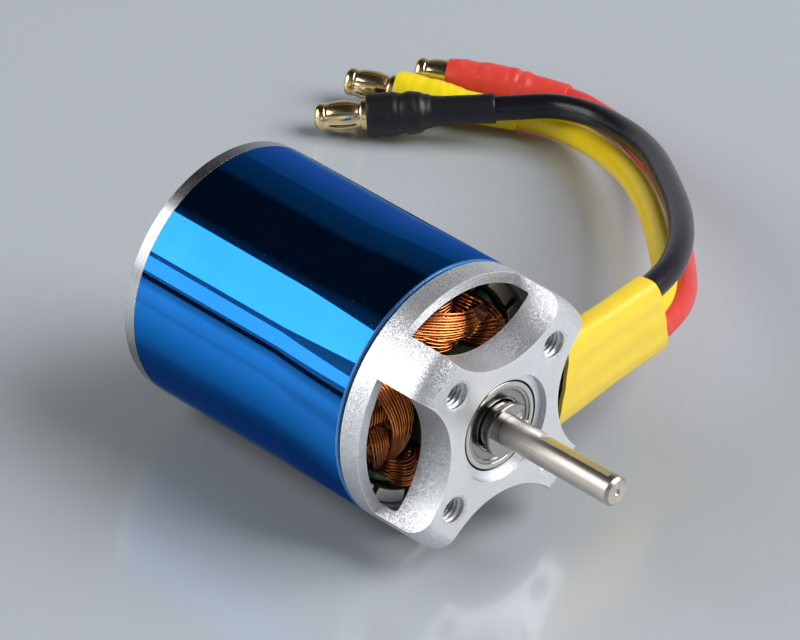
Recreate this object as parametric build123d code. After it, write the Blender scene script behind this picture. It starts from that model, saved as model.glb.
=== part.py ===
from build123d import *
import math
import os

# Brushless outrunner motor, 28 mm class, with three silicone leads and bullet plugs.
# Millimetres. Origin: centre of the flat front mounting face, on the shaft's axis.
# +X points out along the output shaft, +Z is up, and the leads leave on the +Y side.
# The motor lies on its round side, so what it stands on is at z = -can_radius.

# ---- driving dimensions: outside ----
can_radius = 14.0
can_front_x = -9.26
can_length = 29.34
can_wall = 1.25
can_rim_chamfer = 0.25
cap_rim_radius = 13.95
cap_rim_length = 1.32
running_gap = 0.41

# ---- front mount ----
plate_thickness = 4.15
skirt_inner_radius = 12.86
skirt_ring_front_x = -6.35
skirt_back_x = can_front_x + running_gap
lobe_angles = [47.5, 137.5, 227.5, 317.5]
lobe_fillet = 2.2
cup_corner = 0.35
scallop_radius = 9.6
scallop_offset = 17.05
screw_circle_radius = 9.5
screw_hole_radius = 1.25
screw_countersink = 0.35
face_recess_radius = 5.85
face_recess_depth = 0.67
tube_radius = 5.5
tube_back_x = -31.2
tube_bore_radius = 3.6
seat_chamfer = 0.18

# ---- bearings: 3.175 x 9.525 x 3.967, shielded ----
bearing_bore_radius = 1.5875
bearing_radius = 4.7625
bearing_width = 3.967
ball_radius = 0.79
ball_count = 7
ball_pitch_radius = 3.175
race_clearance = 0.03
outer_shoulder_radius = 3.75
inner_shoulder_radius = 2.55
shield_outer_radius = 4.2
shield_inner_radius = 2.75
shield_thickness = 0.15
shield_inset = 0.12
cage_inner_radius = 2.95
cage_outer_radius = 3.4
cage_width = 2.2

# ---- stator and windings ----
slot_count = 12
stator_radius = 11.0
core_front_x = -12.4
core_length = 16.0
yoke_radius = 7.2
tooth_width = 2.2
tip_inner_radius = 10.15
slot_opening = 1.5
insulator_thickness = 0.5
coil_inner_radius = 7.35
coil_outer_radius = 9.9
coil_hole_half_width = 1.16
coil_half_width = 1.93
end_turn = 3.6
coil_corner = 0.75

# ---- rotor ----
magnet_count = 14
magnet_inner_radius = 11.3
magnet_front_x = -10.2
magnet_length = 20.8
magnet_fill = 0.84
magnet_turn = 13.6
hub_radius = 4.5
hub_front_x = -33.0
spigot_depth = 2.0
spigot_wall = 1.2
vent_count = 6
vent_inner_radius = 5.8
vent_outer_radius = 10.6
vent_angle = 40.0
grub_radius = 1.25
grub_length = 2.4
grub_x = -36.0
grub_angles = [90.0, 0.0]
grub_hole_start = 1.3
hex_socket = 1.3

# ---- shaft ----
shaft_radius = 1.5875
shaft_tip_x = 15.25
shaft_back_x = -39.3
shaft_chamfer = 0.3
flat_start_x = 4.8
flat_end_x = 14.2
flat_depth = 0.33
flat_angle = 67.5
clip_groove_depth = 0.2
clip_front_x = 0.55
clip_thickness = 0.6
clip_radius = 2.9
clip_gap = 1.9
clip_gap_angle = 20.0
shim_radius = 2.45
shim_count = 2
running_clearance = 0.02

# ---- leads, plugs and sleeve ----
lead_radius = 1.4
lead_spacing = 2.9
sleeve_start = Vector(-3.31, 10.1, -0.21)
sleeve_end = Vector(-5.9, 27.2, 0.0)
sleeve_length = (sleeve_end - sleeve_start).length
sleeve_width = 9.6
sleeve_thickness = 3.8
sleeve_wall = 0.4
lead_inset = 6.0
tail_radius = 0.75
tail_root_y = 8.93
tail_bend_radius = 1.2
shrink_length = 14.4
shrink_narrow_length = 7.2
shrink_taper = 0.9
shrink_narrow_radius = 1.92
shrink_narrow_bore = 1.53
shrink_wide_radius = 2.35
shrink_wall = 0.22
lead_in_shrink = 9.4
cup_radius = 2.05
cup_depth = 1.4
bullet_radius = 1.75
bullet_core_radius = 1.2
bullet_length = 5.8
bullet_collar = 0.7
bullet_nose = 1.1
bullet_nose_radius = 1.55
spring_wall = 0.22
spring_slots = 6
spring_slot_width = 0.4
spring_slot_share = 0.67
spring_slot_turn = 7.5

lead_routes = {
    "black": [
        (-6.1, 28.6, 2.9),
        (-9.9, 35.6, 2.3),
        (-16.7, 43.2, 0.4),
        (-24.8, 50.3, -2.1),
        (-32.3, 56.4, -4.4),
        (-38.4, 60.4, -6.3),
        (-43.8, 62.6, -7.6),
        (-48.5, 63.4, -8.4),
        (-52.8, 62.4, -8.9),
        (-55.9, 59.2, -9.4),
        (-60.0, 55.3, -10.1),
        (-63.9, 51.6, -10.8),
    ],
    "yellow": [
        (-6.1, 28.6, 0.0),
        (-11.4, 35.4, -0.7),
        (-18.6, 42.2, -2.7),
        (-27.0, 49.8, -5.2),
        (-35.6, 56.5, -8.0),
        (-43.9, 61.4, -10.6),
        (-50.8, 63.9, -12.2),
        (-55.9, 63.3, -12.3),
        (-60.3, 59.9, -12.0),
        (-65.2, 57.1, -11.8),
    ],
    "red": [
        (-6.1, 28.6, -2.9),
        (-9.2, 36.1, -3.5),
        (-15.1, 42.4, -4.8),
        (-22.2, 49.1, -6.5),
        (-30.0, 56.5, -8.4),
        (-37.3, 62.8, -10.4),
        (-42.9, 66.2, -11.6),
        (-47.8, 68.6, -12.3),
        (-52.2, 69.6, -12.6),
        (-56.9, 69.3, -12.2),
        (-62.4, 65.5, -11.9),
    ],
}
lead_rows = {"black": lead_spacing, "yellow": 0.0, "red": -lead_spacing}
arc_share = 0.45

# How far each heat-shrink reaches past its plug's collar.
shrink_cover = {"black": 0.0, "yellow": 0.0, "red": 2.2}
shrink_trim = {"black": 0.0, "yellow": 0.0, "red": 2.7}

# ---- worked out ----
can_back_x = can_front_x - can_length
cap_back_x = can_back_x - cap_rim_length
can_inner_radius = can_radius - can_wall
bearing_front_x = -face_recess_depth
rear_bearing_front_x = tube_back_x + bearing_width
core_back_x = core_front_x - core_length
sleeve_axis = (sleeve_end - sleeve_start).normalized()


def section_at(x):
    """A plane square to the shaft: its own x is +Y and its own y is +Z."""
    return Plane(origin=(x, 0, 0), x_dir=(0, 1, 0), z_dir=(1, 0, 0))


def disc(x_back, x_front, radius):
    return extrude(section_at(x_back) * Circle(radius), x_front - x_back)


def ring(x_back, x_front, outer_radius, inner_radius):
    profile = Circle(outer_radius) - Circle(inner_radius)
    return extrude(section_at(x_back) * profile, x_front - x_back)


def turn_about_shaft(shape, degrees):
    return shape.rotate(Axis.X, degrees)


def polar_point(x, radius, degrees):
    angle = math.radians(degrees)
    return Vector(x, radius * math.cos(angle), radius * math.sin(angle))


def radial_plane(x, radius, degrees):
    """A plane facing out from the shaft: its own x runs along the shaft."""
    angle = math.radians(degrees)
    outward = (0, math.cos(angle), math.sin(angle))
    return Plane(origin=polar_point(x, radius, degrees), x_dir=(1, 0, 0), z_dir=outward)


# ---------------------------------------------------------------- front mount

def mount_blank():
    """A turned cup: flat front plate, thin skirt, and the bearing tube behind the plate."""
    body = disc(skirt_back_x, 0, can_radius)
    front_edge = body.edges().filter_by(GeomType.CIRCLE).sort_by(Axis.X)[-1]
    body = fillet(front_edge, lobe_fillet)
    cavity = disc(skirt_back_x, -plate_thickness, skirt_inner_radius)
    corner = cavity.edges().filter_by(GeomType.CIRCLE).sort_by(Axis.X)[-1]
    cavity = fillet(corner, cup_corner)
    body = body - cavity
    return body + disc(tube_back_x, -plate_thickness, tube_radius)


def mount_scallops():
    """Four round side cuts that leave a cross of lobes and open the skirt between them."""
    depth = -skirt_ring_front_x
    cuts = Part()
    for lobe_angle in lobe_angles:
        centre = polar_point(0, scallop_offset, lobe_angle + 45)
        outline = Pos(centre.Y, centre.Z) * Circle(scallop_radius)
        cuts += extrude(section_at(skirt_ring_front_x) * outline, depth)
    return cuts


def mount_bores():
    """Bearing seats at both ends, the clear bore between them, and the face recess."""
    seat_back_x = bearing_front_x - bearing_width
    bores = disc(-face_recess_depth, 0, face_recess_radius)
    bores += disc(seat_back_x, 0, bearing_radius)
    bores += disc(tube_back_x, 0, tube_bore_radius)
    bores += disc(tube_back_x, rear_bearing_front_x, bearing_radius)
    chamfer_cone = Cone(bearing_radius + seat_chamfer, bearing_radius, seat_chamfer)
    bores += Pos(bearing_front_x - seat_chamfer / 2, 0, 0) * Rot(0, -90, 0) * chamfer_cone
    return bores


def screw_holes():
    """Four screw holes through the plate, each lightly countersunk."""
    holes = Part()
    mouth_radius = screw_hole_radius + screw_countersink
    for lobe_angle in lobe_angles:
        centre = polar_point(0, screw_circle_radius, lobe_angle)
        at = Pos(0, centre.Y, centre.Z)
        holes += at * disc(-plate_thickness, 0, screw_hole_radius)
        cone = Cone(mouth_radius, screw_hole_radius, screw_countersink)
        holes += at * Pos(-screw_countersink / 2, 0, 0) * Rot(0, -90, 0) * cone
    return holes


def front_mount():
    return mount_blank() - mount_scallops() - mount_bores() - screw_holes()


# ---------------------------------------------------------------- bearings

def race_groove(x_middle):
    groove = Torus(ball_pitch_radius, ball_radius + race_clearance)
    return Pos(x_middle, 0, 0) * Rot(0, 90, 0) * groove


def bearing_outer_ring(x_front):
    x_back = x_front - bearing_width
    body = ring(x_back, x_front, bearing_radius, outer_shoulder_radius)
    rebate_depth = shield_inset + shield_thickness
    body -= disc(x_front - rebate_depth, x_front, shield_outer_radius)
    body -= disc(x_back, x_back + rebate_depth, shield_outer_radius)
    return body - race_groove(x_front - bearing_width / 2)


def bearing_inner_ring(x_front):
    x_back = x_front - bearing_width
    body = ring(x_back, x_front, inner_shoulder_radius, bearing_bore_radius)
    return body - race_groove(x_front - bearing_width / 2)


def ball_positions(x_front):
    x_middle = x_front - bearing_width / 2
    step = 360 / ball_count
    return [polar_point(x_middle, ball_pitch_radius, step * i) for i in range(ball_count)]


def bearing_balls(x_front):
    return Compound([Pos(p) * Sphere(ball_radius) for p in ball_positions(x_front)])


def bearing_cage(x_front):
    x_back = x_front - (bearing_width + cage_width) / 2
    body = ring(x_back, x_back + cage_width, cage_outer_radius, cage_inner_radius)
    for p in ball_positions(x_front):
        body -= Pos(p) * Sphere(ball_radius + race_clearance)
    return Compound(body.solids())


def bearing_shields(x_front):
    x_back = x_front - bearing_width
    front = ring(
        x_front - shield_inset - shield_thickness,
        x_front - shield_inset,
        shield_outer_radius,
        shield_inner_radius,
    )
    back = ring(
        x_back + shield_inset,
        x_back + shield_inset + shield_thickness,
        shield_outer_radius,
        shield_inner_radius,
    )
    return Compound([front, back])


# ---------------------------------------------------------------- stator

def stator_outline(with_tips):
    """Section of the lamination stack: yoke, teeth and, where asked, the tooth tips."""
    outline = Circle(yoke_radius)
    reach = stator_radius if with_tips else tip_inner_radius
    for i in range(slot_count):
        tooth = Pos(reach / 2, 0) * Rectangle(reach, tooth_width)
        outline += Rot(0, 0, i * 360 / slot_count) * tooth
    if with_tips:
        outline += Circle(stator_radius) - Circle(tip_inner_radius)
        for i in range(slot_count):
            opening = Pos(stator_radius, 0) * Rectangle(stator_radius - yoke_radius, slot_opening)
            outline -= Rot(0, 0, (i + 0.5) * 360 / slot_count) * opening
        outline = outline & Circle(stator_radius)
    return outline - Circle(tube_radius)


def stator_core():
    return extrude(section_at(core_back_x) * stator_outline(True), core_length)


def stator_insulator(x_back):
    return extrude(section_at(x_back) * stator_outline(False), insulator_thickness)


def coil(degrees):
    """One winding: a racetrack block of wire around one tooth."""
    plane = radial_plane(core_front_x - core_length / 2, coil_inner_radius, degrees)
    half_hole = core_length / 2 + insulator_thickness
    outer = RectangleRounded(2 * (half_hole + end_turn), 2 * coil_half_width, coil_corner)
    hole = Rectangle(2 * half_hole, 2 * coil_hole_half_width)
    return extrude(plane * (outer - hole), coil_outer_radius - coil_inner_radius)


def winding_phase(first_tooth):
    step = 360 / slot_count
    return Compound([coil(step * i) for i in range(first_tooth, slot_count, 3)])


# ---------------------------------------------------------------- rotor

def rotor_can():
    body = ring(can_back_x, can_front_x, can_radius, can_inner_radius)
    rim = body.edges().filter_by(GeomType.CIRCLE).sort_by(Axis.X)[-2:]
    outer_rim = rim.sort_by(SortBy.RADIUS)[-1]
    return chamfer(outer_rim, can_rim_chamfer)


def magnets():
    """Flat-sided arc magnets on the inside of the can, evenly spaced."""
    step = 360 / magnet_count
    whole = ring(
        magnet_front_x - magnet_length,
        magnet_front_x,
        can_inner_radius,
        magnet_inner_radius,
    )
    half = step * magnet_fill / 2
    far = 2 * can_radius
    corner_y = far * math.cos(math.radians(half))
    corner_z = far * math.sin(math.radians(half))
    wedge = Polygon((0, 0), (corner_y, -corner_z), (corner_y, corner_z), align=None)
    slice_block = extrude(section_at(magnet_front_x - magnet_length) * wedge, magnet_length)
    one = whole & slice_block
    return Compound([turn_about_shaft(one, magnet_turn + step * i) for i in range(magnet_count)])


def vent_outline():
    """One rounded cooling window of the rear cap, between two spokes."""
    half = math.radians(vent_angle / 2)
    outer_y = vent_outer_radius * math.cos(half)
    outer_z = vent_outer_radius * math.sin(half)
    inner_y = vent_inner_radius * math.cos(half)
    inner_z = vent_inner_radius * math.sin(half)
    outer_arc = ThreePointArc((outer_y, -outer_z), (vent_outer_radius, 0), (outer_y, outer_z))
    inner_arc = ThreePointArc((inner_y, inner_z), (vent_inner_radius, 0), (inner_y, -inner_z))
    side_a = Line((outer_y, outer_z), (inner_y, inner_z))
    side_b = Line((inner_y, -inner_z), (outer_y, -outer_z))
    return make_face([outer_arc, side_a, inner_arc, side_b])


def rear_cap():
    """End bell: rim, spigot inside the can, spokes between vents, and the shaft hub."""
    body = disc(cap_back_x, can_back_x, cap_rim_radius)
    body += ring(
        can_back_x,
        can_back_x + spigot_depth,
        can_inner_radius,
        can_inner_radius - spigot_wall,
    )
    body += disc(cap_back_x, hub_front_x, hub_radius)
    vent = extrude(section_at(cap_back_x) * vent_outline(), cap_rim_length)
    for i in range(vent_count):
        body -= turn_about_shaft(vent, i * 360 / vent_count)
    body -= disc(cap_back_x, hub_front_x, shaft_radius)
    for degrees in grub_angles:
        body -= grub_hole(degrees)
    return body


def grub_hole(degrees):
    plane = radial_plane(grub_x, grub_hole_start, degrees)
    return extrude(plane * Circle(grub_radius), hub_radius)


def grub_screw(degrees):
    plane = radial_plane(grub_x, shaft_radius, degrees)
    body = extrude(plane * Circle(grub_radius), grub_length)
    socket_plane = radial_plane(grub_x, shaft_radius + grub_length / 2, degrees)
    socket = RegularPolygon(hex_socket / 2, 6, major_radius=False)
    return body - extrude(socket_plane * socket, grub_length)


# ---------------------------------------------------------------- shaft

def shaft():
    """Ground shaft with a driving flat, and a groove for the retaining clip."""
    body = disc(shaft_back_x, shaft_tip_x, shaft_radius)
    ends = body.edges().filter_by(GeomType.CIRCLE)
    body = chamfer(ends, shaft_chamfer)
    flat_plane = radial_plane(
        (flat_start_x + flat_end_x) / 2, shaft_radius - flat_depth, flat_angle
    )
    flat = Rectangle(flat_end_x - flat_start_x, 4 * shaft_radius)
    body -= extrude(flat_plane * flat, shaft_radius)
    groove_radius = shaft_radius - clip_groove_depth
    body -= ring(clip_front_x - clip_thickness, clip_front_x, 2 * shaft_radius, groove_radius)
    return body


def shaft_clip():
    """C-shaped retaining clip in the shaft's groove, open on one side."""
    groove_radius = shaft_radius - clip_groove_depth
    profile = Circle(clip_radius) - Circle(groove_radius)
    mouth = Pos(clip_radius, 0) * Rectangle(2 * clip_radius, clip_gap)
    profile -= Rot(0, 0, clip_gap_angle) * mouth
    return extrude(section_at(clip_front_x - clip_thickness) * profile, clip_thickness)


def shim_washers():
    """Thin washers that fill the space between the front bearing and the clip."""
    space = clip_front_x - clip_thickness - bearing_front_x
    each = space / shim_count
    inner = shaft_radius + running_clearance
    starts = [bearing_front_x + each * i for i in range(shim_count)]
    return Compound([ring(x, x + each, shim_radius, inner) for x in starts])


def rear_spacer():
    inner = shaft_radius + running_clearance
    return ring(hub_front_x, tube_back_x, shim_radius, inner)


# ---------------------------------------------------------------- leads

def lead_start(colour):
    along = sleeve_length - lead_inset
    return sleeve_start + sleeve_axis * along + Vector(0, 0, lead_rows[colour])


def lead_points(colour):
    return [lead_start(colour)] + [Vector(*p) for p in lead_routes[colour]]


def corner_radii(points):
    """Each arc takes the same share of the shorter run beside it."""
    radii = []
    for before, corner, after in zip(points, points[1:], points[2:]):
        run_in = corner - before
        run_out = after - corner
        half_turn = math.radians(run_in.get_angle(run_out)) / 2
        shorter = min(run_in.length, run_out.length)
        radii.append(arc_share * shorter / math.tan(half_turn))
    return radii


def tube_along(points, radii, radius):
    path = FilletPolyline(*points, radius=radii)
    start_plane = Plane(origin=path @ 0, z_dir=path % 0)
    return sweep(start_plane * Circle(radius), path=path), path


def lead(colour):
    points = lead_points(colour)
    radii = corner_radii(points)
    tube, path = tube_along(points, radii, lead_radius)
    expected = math.pi * lead_radius ** 2 * path.length
    ratio = round(tube.volume / expected, 4)
    print(colour, "lead length", round(path.length, 1), "volume ratio", ratio)
    print("  arc radii", [round(r, 1) for r in radii])
    return tube


def plug_plane(colour):
    """Plane at the start of a plug's heat-shrink, facing along the plug."""
    points = lead_points(colour)
    axis = (points[-1] - points[-2]).normalized()
    return Plane(origin=points[-1] - axis * lead_in_shrink, z_dir=axis)


def revolve_on(plane, outline):
    """Turn an outline, given as (radius, distance along the axis) points, into a solid."""
    face = make_face(Polyline(*[(r, 0, s) for r, s in outline], close=True))
    return plane * revolve(face, Axis.Z)


def shrink(colour):
    wide_start = shrink_narrow_length + shrink_taper
    wide_bore = shrink_wide_radius - shrink_wall
    start = shrink_trim[colour]
    end = shrink_length + shrink_cover[colour]
    outline = [
        (shrink_narrow_bore, start),
        (shrink_narrow_radius, start),
        (shrink_narrow_radius, shrink_narrow_length),
        (shrink_wide_radius, wide_start),
        (shrink_wide_radius, end),
        (wide_bore, end),
        (wide_bore, wide_start),
        (shrink_narrow_bore, shrink_narrow_length),
    ]
    return revolve_on(plug_plane(colour), outline)


def bullet(colour):
    """Plug pin: solder cup inside the heat-shrink, a collar, a slim core and a nose."""
    cup_start = lead_in_shrink - cup_depth
    collar_end = shrink_length + bullet_collar
    nose_start = shrink_length + bullet_length - bullet_nose
    tip = shrink_length + bullet_length
    outline = [
        (0, lead_in_shrink),
        (lead_radius + running_clearance, lead_in_shrink),
        (lead_radius + running_clearance, cup_start),
        (cup_radius, cup_start),
        (cup_radius, shrink_length),
        (bullet_radius, shrink_length),
        (bullet_radius, collar_end),
        (bullet_core_radius, collar_end),
        (bullet_core_radius, nose_start),
        (bullet_nose_radius, nose_start),
        (bullet_nose_radius, tip - bullet_nose / 2),
        (bullet_core_radius, tip),
        (0, tip),
    ]
    return revolve_on(plug_plane(colour), outline)


def bullet_spring(colour):
    """Slotted contact sleeve around the slim core of the pin."""
    start = shrink_length + bullet_collar
    end = shrink_length + bullet_length - bullet_nose
    slot_length = spring_slot_share * (end - start)
    middle = (start + end) / 2
    inner = bullet_radius - spring_wall
    body = extrude(Pos(0, 0, start) * (Circle(bullet_radius) - Circle(inner)), end - start)
    slot = Pos(bullet_radius, 0, middle) * Box(bullet_radius, spring_slot_width, slot_length)
    for i in range(spring_slots):
        body -= Rot(0, 0, spring_slot_turn + i * 360 / spring_slots) * slot
    return plug_plane(colour) * body


def lead_sleeve():
    """Flattened heat-shrink sleeve that gathers the three leads at the motor."""
    plane = Plane(origin=sleeve_start, x_dir=(0, 0, 1), z_dir=sleeve_axis)
    outer = SlotOverall(sleeve_width, sleeve_thickness)
    inner = SlotOverall(sleeve_width - 2 * sleeve_wall, sleeve_thickness - 2 * sleeve_wall)
    return extrude(plane * (outer - inner), sleeve_length)


def phase_tail(colour):
    """Bundle of winding wire from the coil ends out to the lead inside the sleeve."""
    end = lead_start(colour)
    bend = end - sleeve_axis * ((end.Y - tail_root_y) / sleeve_axis.Y)
    root = Vector(core_front_x + insulator_thickness + end_turn, tail_root_y, bend.Z)
    tail, path = tube_along([root, bend, end], [tail_bend_radius], tail_radius)
    return tail


# ---------------------------------------------------------------- write the pieces

def build_all():
    pieces = {
        "front_mount": front_mount(),
        "stator_core": stator_core(),
        "stator_insulator_front": stator_insulator(core_front_x),
        "stator_insulator_rear": stator_insulator(core_back_x - insulator_thickness),
        "rotor_can": rotor_can(),
        "magnets": magnets(),
        "rear_cap": rear_cap(),
        "grub_screws": Compound([grub_screw(a) for a in grub_angles]),
        "shaft": shaft(),
        "shaft_clip": shaft_clip(),
        "shim_washers": shim_washers(),
        "rear_spacer": rear_spacer(),
        "lead_sleeve": lead_sleeve(),
        "phase_tails": Compound([phase_tail(c) for c in lead_rows]),
    }
    for number, letter in enumerate("abc"):
        pieces["winding_phase_" + letter] = winding_phase(number)
    bearings = {"front": bearing_front_x, "rear": rear_bearing_front_x}
    for place, x_front in bearings.items():
        pieces[place + "_bearing_outer_ring"] = bearing_outer_ring(x_front)
        pieces[place + "_bearing_inner_ring"] = bearing_inner_ring(x_front)
        pieces[place + "_bearing_balls"] = bearing_balls(x_front)
        pieces[place + "_bearing_cage"] = bearing_cage(x_front)
        pieces[place + "_bearing_shields"] = bearing_shields(x_front)
    for colour in lead_rows:
        pieces["lead_" + colour] = lead(colour)
        pieces["shrink_" + colour] = shrink(colour)
        pieces["bullet_" + colour] = bullet(colour)
        pieces["bullet_spring_" + colour] = bullet_spring(colour)
    return pieces


os.makedirs("parts", exist_ok=True)
for node, shape in build_all().items():
    export_step(shape, "parts/" + node + ".step")
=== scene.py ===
"""Looks of a brushless outrunner motor: a mirror-blue can behind a windowed aluminium mount,
copper windings, a ground steel shaft, and three silicone leads with gold bullet plugs."""
import math
import random

import bmesh
import bpy
from mathutils import Matrix, Vector


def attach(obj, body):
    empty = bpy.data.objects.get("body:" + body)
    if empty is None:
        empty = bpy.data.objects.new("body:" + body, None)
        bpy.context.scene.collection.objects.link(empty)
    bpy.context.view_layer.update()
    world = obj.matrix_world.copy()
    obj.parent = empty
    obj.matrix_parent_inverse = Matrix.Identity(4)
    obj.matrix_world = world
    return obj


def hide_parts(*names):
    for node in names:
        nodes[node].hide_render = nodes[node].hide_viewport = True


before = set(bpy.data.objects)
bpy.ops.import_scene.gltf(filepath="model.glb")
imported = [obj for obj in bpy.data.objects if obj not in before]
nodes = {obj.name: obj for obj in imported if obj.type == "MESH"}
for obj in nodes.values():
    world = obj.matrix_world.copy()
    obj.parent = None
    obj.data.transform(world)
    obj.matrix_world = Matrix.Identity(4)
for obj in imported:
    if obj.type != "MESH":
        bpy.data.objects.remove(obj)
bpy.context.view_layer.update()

MM = 0.001
scene = bpy.context.scene

# ---- the motor's main sizes, in millimetres ----
CAN_RADIUS = 14.0
CAN_INNER_RADIUS = 12.75
CAN_FRONT_X = -9.26
CAN_BACK_X = -38.6
FLOOR_Z = -14.16  # just under the leads' lowest point
LOBE_ANGLES = [47.5, 137.5, 227.5, 317.5]
SCREW_CIRCLE_RADIUS = 9.5
SCREW_HOLE_RADIUS = 1.25
THREAD_RADIUS = 1.5
PLATE_THICKNESS = 4.15
BEARING_FRONT_X = {"front": -0.67, "rear": -27.233}
BEARING_WIDTH = 3.967
TOOTH_COUNT = 12
COIL_FRONT_X = -11.9
COIL_BACK_X = -28.9
TEETH_FRONT_X = -12.35
TEETH_BACK_X = -28.45
LEAD_RADIUS = 1.4
LEAD_COLOURS = ["black", "yellow", "red"]
SLEEVE_START = Vector((-3.31, 10.1, -0.21))
SLEEVE_END = Vector((-5.9, 27.2, 0.0))
SLEEVE_AXIS = (SLEEVE_END - SLEEVE_START).normalized()
SLEEVE_LENGTH = (SLEEVE_END - SLEEVE_START).length
SLEEVE_WALL = 0.4
LEAD_ROWS = {"black": 2.9, "yellow": 0.0, "red": -2.9}
LEAD_INSET = 6.0
SHRINK_LENGTH = 14.4
LEAD_IN_SHRINK = 9.4
BULLET_LENGTH = 5.8
SHRINK_WALL = 0.22
SHRINK_EXTRA = {"black": 0.0, "yellow": 0.0, "red": 2.2}
SHRINK_TRIM = {"black": 0.0, "yellow": 0.0, "red": 2.7}
SHRINK_WIDEST = {"black": 2.48, "yellow": 2.35, "red": 2.35}

# Route of each lead after its start inside the sleeve.
LEAD_ROUTES = {
    "black": [
        (-6.1, 28.6, 2.9), (-9.9, 35.6, 2.3), (-16.7, 43.2, 0.4), (-24.8, 50.3, -2.1),
        (-32.3, 56.4, -4.4), (-38.4, 60.4, -6.3), (-43.8, 62.6, -7.6), (-48.5, 63.4, -8.4),
        (-52.8, 62.4, -8.9), (-55.9, 59.2, -9.4), (-60.0, 55.3, -10.1), (-63.9, 51.6, -10.8),
    ],
    "yellow": [
        (-6.1, 28.6, 0.0), (-11.4, 35.4, -0.7), (-18.6, 42.2, -2.7), (-27.0, 49.8, -5.2),
        (-35.6, 56.5, -8.0), (-43.9, 61.4, -10.6), (-50.8, 63.9, -12.2),
        (-55.9, 63.3, -12.3), (-60.3, 59.9, -12.0), (-65.2, 57.1, -11.8),
    ],
    "red": [
        (-6.1, 28.6, -2.9), (-9.2, 36.1, -3.5), (-15.1, 42.4, -4.8), (-22.2, 49.1, -6.5),
        (-30.0, 56.5, -8.4), (-37.3, 62.8, -10.4), (-42.9, 66.2, -11.6),
        (-47.8, 68.6, -12.3), (-52.2, 69.6, -12.6), (-56.9, 69.3, -12.2),
        (-62.4, 65.5, -11.9),
    ],
}


# ---- camera, floor and light ----

def make_camera():
    data = bpy.data.cameras.new("camera")
    data.sensor_width = 36.0
    data.lens = 288.457
    data.clip_start = 0.01
    data.clip_end = 20.0
    camera = bpy.data.objects.new("camera", data)
    right = Vector((0.70313, 0.70907, 0.05313))
    up = Vector((-0.39951, 0.33214, 0.85445))
    back = Vector((0.58822, -0.62202, 0.51681))
    turn = Matrix((right, up, back)).transposed().to_4x4()
    camera.matrix_world = Matrix.Translation((0.358716, -0.395257, 0.333792)) @ turn
    scene.collection.objects.link(camera)
    scene.camera = camera


# ---- material kit ----

class Nodes:
    """A node tree, built up one node at a time."""

    def __init__(self, tree):
        self.tree = tree

    def node(self, kind, settings=None, **inputs):
        made = self.tree.nodes.new("ShaderNode" + kind)
        for key, value in (settings or {}).items():
            setattr(made, key, value)
        for key, value in inputs.items():
            number = int(key[2:]) if key.startswith("in") else key.replace("_", " ")
            self.fill(made.inputs[number], value)
        return made

    def fill(self, socket, value):
        """Links another node's output, or sets a constant."""
        if isinstance(value, bpy.types.NodeSocket):
            self.tree.links.new(value, socket)
        else:
            socket.default_value = value

    def ramp(self, factor, stops):
        """Greys or colours between (place, grey or colour) stops."""
        made = self.node("ValToRGB", Fac=factor)
        ramp = made.color_ramp
        while len(ramp.elements) < len(stops):
            ramp.elements.new(0.5)
        for element, (place, colour) in zip(ramp.elements, stops):
            element.position = place
            if isinstance(colour, (int, float)):
                colour = (colour, colour, colour)
            element.color = (*colour, 1.0)
        return made.outputs["Color"]

    def math(self, operation, a, b=0.0, clamp=False):
        made = self.node("Math", {"operation": operation, "use_clamp": clamp}, in0=a, in1=b)
        return made.outputs[0]

    def vector(self, operation, *values):
        inputs = {"in" + str(i): value for i, value in enumerate(values)}
        return self.node("VectorMath", {"operation": operation}, **inputs)

    def mix(self, factor, a, b):
        a, b = ((*c, 1.0) if isinstance(c, tuple) else c for c in (a, b))
        return self.node("Mix", {"data_type": "RGBA"}, in0=factor, in6=a, in7=b).outputs[2]


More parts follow.
